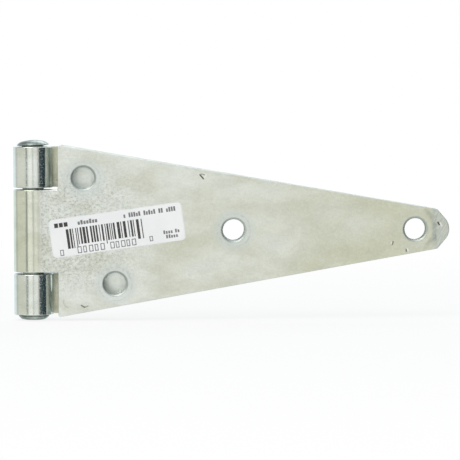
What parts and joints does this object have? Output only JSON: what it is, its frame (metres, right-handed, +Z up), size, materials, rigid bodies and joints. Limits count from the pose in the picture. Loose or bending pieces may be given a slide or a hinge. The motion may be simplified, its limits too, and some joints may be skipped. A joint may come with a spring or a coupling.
{
  "type": "strap hinge",
  "caption": "Heavy strap hinge folded shut: tapered steel leaves with rounded noses, curled knuckles on a riveted pin, countersunk screw holes, and a paper barcode sticker.",
  "frame": {"origin": "on the pin's axis, half way along the barrel", "axes": "+Z up the pin, +X from the pin towards the strap tips, +Y out of the back leaf's back face; the front leaf lies on the -Y side"},
  "size_m": [0.1597, 0.0144, 0.0661],
  "materials": {
    "zinc_leaf": "zinc electroplated rolled steel, pale yellow-green passivate, satin, faintly mottled",
    "zinc_pin": "zinc electroplated round bar with formed heads, slightly brighter than the leaves",
    "label_paper": "white coated sticker paper printed with plain grey and black bars"
  },
  "bodies": {
    "back_leaf": {"back_leaf": "zinc_leaf"},
    "front_leaf": {"front_leaf": "zinc_leaf", "barcode_label": "label_paper"},
    "pin": {"hinge_pin": "zinc_pin"}
  },
  "joints": [
    {"name": "leaf_swing", "type": "hinge", "parent": "back_leaf", "child": "front_leaf", "pos_m": [0, 0, 0], "axis": [0, 0, -1], "range_deg": [0, 290]},
    {"name": "pin_spin", "type": "hinge", "parent": "back_leaf", "child": "pin", "pos_m": [0, 0, 0], "axis": [0, 0, 1], "continuous": true}
  ]
}
